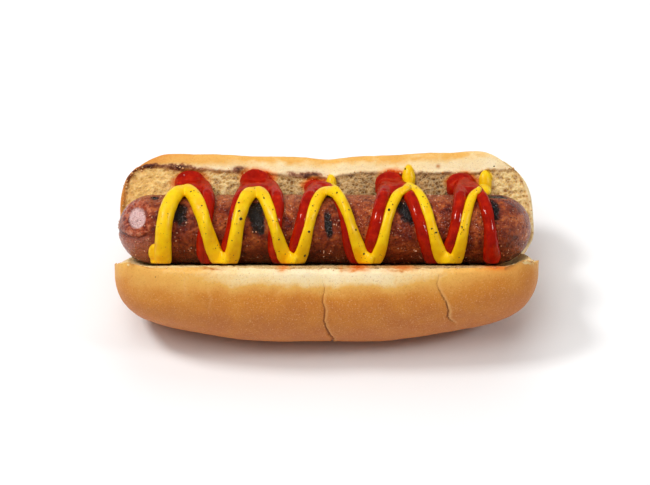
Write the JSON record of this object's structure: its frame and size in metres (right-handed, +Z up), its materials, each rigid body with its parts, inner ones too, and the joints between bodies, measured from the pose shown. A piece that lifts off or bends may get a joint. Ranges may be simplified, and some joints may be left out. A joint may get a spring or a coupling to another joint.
{
  "type": "hot dog",
  "caption": "Grilled sausage in a soft bun split along its side and opened in a V, with ketchup and mustard piped across it in zigzags.",
  "frame": {"origin": "on the surface the bun rests on, under the middle of the hot dog", "axes": "+X along the hot dog, +Z up; -Y is the front half of the bun"},
  "size_m": [0.154, 0.0765, 0.0523],
  "materials": {
    "bun": "soft baked crust, golden brown, pale at the cut, with open crumb on the cut faces",
    "sausage": "glossy browned casing with dark grill marks",
    "ketchup": "wet, deep red",
    "mustard": "smooth, warm yellow, with pepper flecks"
  },
  "bodies": {
    "root": {"bun": "bun", "sausage": "sausage", "ketchup": "ketchup", "mustard": "mustard"}
  },
  "joints": []
}
